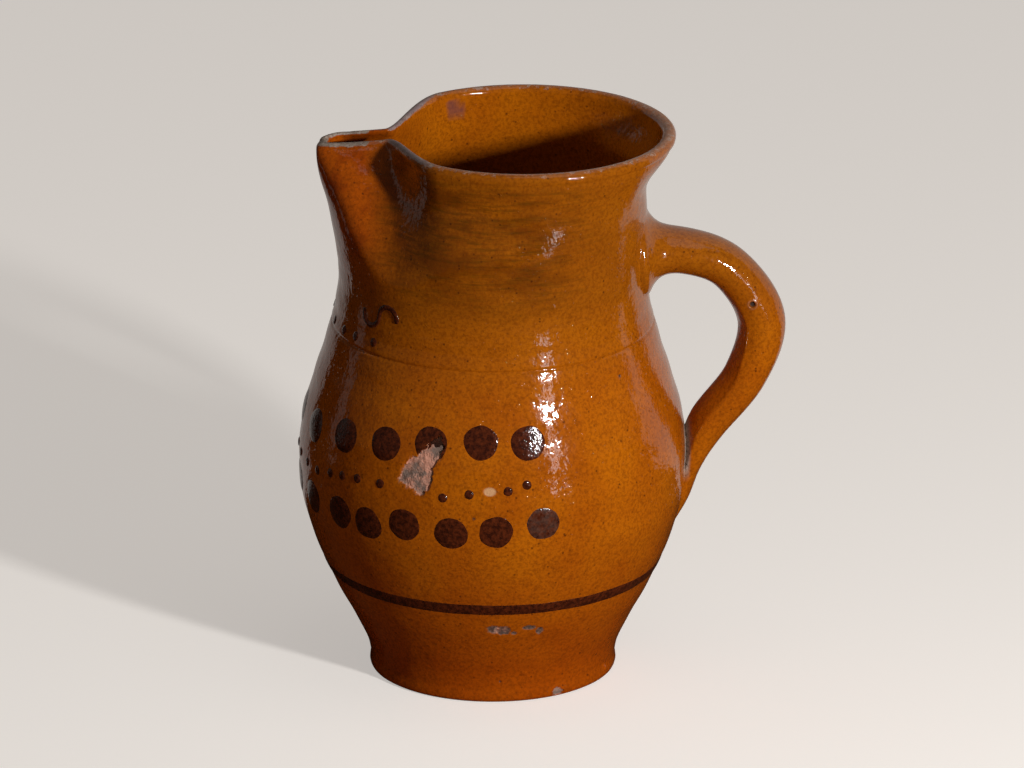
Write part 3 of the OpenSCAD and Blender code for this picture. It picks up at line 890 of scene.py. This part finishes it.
upper = [(19.7, -0.79), (38, -0.33), (54.8, -0.04), (70.3, 0.4), (86.3, 0.64), (101.2, 0.56)]
lower = [(37.6, -0.18), (49.7, -0.25), (62.7, 0.21), (77.5, 0), (91, 0.17), (105.1, 0.58)]
middle = [
    (17.3, -0.54), (25.5, -0.53), (33.1, -0.21), (39, -0.04), (45.6, 0.13), (54.4, 0.22),
    (75.1, -0.03), (83, 0.26), (94.6, 0.47), (100.3, 0.81),
]
neck_dots = [(9.3, -0.08), (21.6, -0.03), (30.8, 0.06), (41.5, 0.17)]
large_dots = (
    row(upper, upper_row_z) + row([(0, -0.83)], upper_row_z) + row(upper, upper_row_z, -1)
    + row(lower, lower_row_z) + row([(21, -0.24), (4, -0.07), (-15, -0.14)], lower_row_z)
    + row(lower, lower_row_z, -1)
)
small_dots = (
    row(middle, small_row_z) + row([(0, -0.49), (8.5, -0.53), (-8.5, -0.53)], small_row_z)
    + row(middle, small_row_z, -1) + row([(62, 0.17), (69, 0.06), (89.2, 0.43)], small_row_z, -1)
    + row(neck_dots, neck_row_z) + row(neck_dots, neck_row_z, -1)
)

dots = bmesh.new()
rubbed_layer = dots.verts.layers.float.new("rubbed")
for seed, (angle, z) in enumerate(large_dots):
    verts = add_dot(dots, angle, z, large_r * 1.07, slip_t, seed, 0.97)
    if angle == 105.1:
        for vert in verts:
            vert[rubbed_layer] = 1
# The chip took a bite out of the fourth dot of the upper row
for i in range(2):
    bmesh.ops.subdivide_edges(dots, edges=near_flake(dots.edges), cuts=1, use_grid_fill=True)
for vert in near_flake(dots.verts):
    vert.co -= at_turn(flake_angle) * 1.8 * smooth((0.25 - beyond_flake(vert.co)) / 0.4)
finish_piece(dots, "large_slip_dots", slip, "slip_large_dots")

dots = bmesh.new()
dots.verts.layers.float.new("rubbed")
for seed, (angle, z) in enumerate(small_dots):
    add_dot(dots, angle, z, small_r, slip_t, seed + 50)
finish_piece(dots, "small_slip_dots", slip, "slip_small_dots")

# The brown band
# Slip brushed on in one turn of the wheel, thinner than the dots, with a slightly uneven edge.
band_low, band_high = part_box("slip_band")
band_z = (band_low.z + band_high.z) / 2 / MM
band_w = (band_high.z - band_low.z) / MM
# It is turned at a plain radius first, and then laid on the wall
turning_r = 50
band = bmesh.new()
band.verts.layers.float.new("rubbed")
for share in (-1, -0.96, -0.8, -0.4, 0, 0.4, 0.8, 0.96, 1):
    band.verts.new((turning_r + 0.42 * (1 - share**6) - 0.12, 0, share * band_w / 2))
band.verts.ensure_lookup_table()
for i in range(len(band.verts) - 1):
    band.edges.new((band.verts[i], band.verts[i + 1]))
bmesh.ops.spin(
    band, geom=band.verts[:] + band.edges[:], cent=(0, 0, 0), axis=(0, 0, 1), angle=2 * math.pi, steps=240,
    use_merge=True, use_duplicate=False,
)
for vert in band.verts:
    x, y, up = vert.co
    out = math.hypot(x, y) - turning_r
    way = Vector((x, y, 0)).normalized()
    edge = 0.35 * noise.noise(way * 5 + Vector((0, 0, 4 * math.copysign(1, up))))
    z = band_z + up + edge * abs(up) / (band_w / 2)
    vert.co = way * (outside_r(z) + out) + Vector((0, 0, z))
back = bmesh.ops.extrude_edge_only(band, edges=[e for e in band.edges if e.is_boundary])["geom"]
inner = [v for v in back if isinstance(v, bmesh.types.BMVert)]
for vert in inner:
    way = Vector((vert.co.x, vert.co.y, 0)).normalized()
    vert.co -= way * 0.5
bmesh.ops.bridge_loops(band, edges=[e for e in band.edges if e.is_boundary])
bmesh.ops.recalc_face_normals(band, faces=band.faces[:])
finish_piece(band, "brown_band", slip, "slip_band")

# The scroll on the neck
# One wavy trail of slip on the front of the neck near the spout, drawn in a single movement, with round
# ends. It stands as proud as the dots.
scroll_angle, scroll_z, scroll_w, scroll_bend, scroll_run = 43, neck_z - 6, 2.4, 5, 5
scroll = bmesh.new()
scroll.verts.layers.float.new("rubbed")


def trail_section(bm, x, shares):
    """Part of a round-topped section across the trail, as a chain at a distance from its middle."""
    verts = [bm.verts.new((
        x + share * scroll_w / 2, 0, (slip_t + 0.12) * math.sqrt(1 - share * share) - 0.12,
    )) for share in shares]
    return verts + [bm.edges.new(pair) for pair in zip(verts, verts[1:])]


section_shares = [math.sin(math.pi / 2 * i / 5) for i in range(-5, 6)]
for half in (1, -1):
    bmesh.ops.spin(
        scroll, geom=trail_section(scroll, 0, section_shares), cent=(half * scroll_run, 0, 0), axis=(0, 0, 1),
        angle=-math.pi, steps=26, use_merge=False, use_duplicate=False,
    )
    end = half * (scroll_run + scroll_bend)
    bmesh.ops.spin(
        scroll, geom=trail_section(scroll, end, [half * share for share in section_shares[5:]]),
        cent=(end, 0, 0), axis=(0, 0, 1), angle=-math.pi, steps=10, use_merge=False, use_duplicate=False,
    )
bmesh.ops.remove_doubles(scroll, verts=scroll.verts[:], dist=0.01)
close_under(scroll)
lay_on_wall(scroll, scroll.verts[:], scroll_angle, scroll_z)
bmesh.ops.recalc_face_normals(scroll, faces=scroll.faces[:])
finish_piece(scroll, "neck_scroll", slip, "slip_scroll")

# Floor, light and camera
# A plain pale floor that is warm and darker to the light that it sends back, a tall window of light from
# the right and in front, and a long lens that looks down by 20 degrees.
floor_paint = new_material("matt_white_floor")
tree = floor_paint.node_tree
seen = add(tree, "ShaderNodeLightPath", {}, "Is Camera Ray")
mirrored = seen.node.outputs["Is Glossy Ray"]
tone = blend(tree, mirrored, colour("#a98468"), colour("#4a3423"))
tone = blend(tree, seen, tone, colour("#ded9d3"))
glow = times(tree, seen, 0.5)
skin = add(tree, "ShaderNodeBsdfPrincipled", {
    "Roughness": 0.9, "Specular IOR Level": 0, "Emission Color": colour("#f4efea"),
    "Base Color": tone, "Emission Strength": glow})
cover(tree, skin)
ground = bmesh.new()
bmesh.ops.create_grid(ground, x_segments=1, y_segments=1, size=6)
floor = new_object(ground, "floor")
floor.data.materials.append(floor_paint)
floor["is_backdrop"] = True

# Cards behind the jug, bright on the right and dim on the left, that only its gloss sees, as (name, near
# and far edge along x, glow)
card_y, card_h = 0.17, 1
cards = (("card_right", 0, 1, 0.48), ("card_left", -0.24, 0, 0.34), ("card_far_left", -0.8, -0.56, 0.24))
for name, near, far, glow in cards:
    card_paint = new_material(name)
    lit = add(card_paint.node_tree, "ShaderNodeEmission", {"Color": colour("#fff3ea"), "Strength": glow})
    cover(card_paint.node_tree, lit)
    sheet = bmesh.new()
    corners = ((near, 0), (far, 0), (far, card_h), (near, card_h))
    sheet.faces.new([sheet.verts.new((x, card_y, z)) for x, z in corners])
    card = new_object(sheet, name)
    card.data.materials.append(card_paint)
    card.visible_camera = False
    card.visible_diffuse = False
    card.visible_shadow = False
    card.visible_transmission = False
    card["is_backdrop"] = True

world = bpy.data.worlds.new("plain_room")
bpy.context.scene.world = world
world.use_nodes = True
tree = world.node_tree
mirrored = add(tree, "ShaderNodeLightPath", {}, "Is Glossy Ray")
glow = ramp(tree, mirrored, 0, 1, 0.035, 0.1)
tree.links.new(glow, tree.nodes["Background"].inputs["Strength"])
tree.nodes["Background"].inputs["Color"].default_value = colour("#ffeedd")


def soft_light(name, azimuth, elevation, distance, size, power):
    """A rectangular soft light aimed at the jug, azimuth towards +X from the camera's side."""
    lamp = bpy.data.lights.new(name, "AREA")
    lamp.shape = "RECTANGLE"
    lamp.size, lamp.size_y = size
    lamp.energy = power
    made = bpy.data.objects.new(name, lamp)
    a, e = math.radians(azimuth), math.radians(elevation)
    back = Vector((math.sin(a) * math.cos(e), -math.cos(a) * math.cos(e), math.sin(e)))
    made.location = Vector((0, 0, 0.12)) + back * distance
    made.rotation_mode = "QUATERNION"
    made.rotation_quaternion = back.to_track_quat("Z", "Y")
    made.visible_camera = False
    bpy.context.scene.collection.objects.link(made)


soft_light("key", 37, 18, 1.6, (0.1, 0.12), 21)
soft_light("window", 37, 4, 1.6, (0.12, 0.5), 0.8)
soft_light("ceiling", 60, 75, 1.8, (1, 1), 1.5)

camera_data = bpy.data.cameras.new("camera")
camera = bpy.data.objects.new("camera", camera_data)
bpy.context.scene.collection.objects.link(camera)
camera_tilt = 0.348
camera_distance = 11.05
camera_data.sensor_width = 36
camera_data.lens = 914
camera_data.clip_end = 60
back = Vector((0, -math.cos(camera_tilt), math.sin(camera_tilt)))
up = Vector((0, math.sin(camera_tilt), math.cos(camera_tilt)))
frame_centre = Vector((0.0082, 0, 0.1275)) - up * 0.0021
camera.location = frame_centre + back * camera_distance
camera.rotation_mode = "QUATERNION"
camera.rotation_quaternion = back.to_track_quat("Z", "Y")
bpy.context.scene.camera = camera
bpy.context.scene.view_settings.view_transform = "Standard"

low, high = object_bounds()
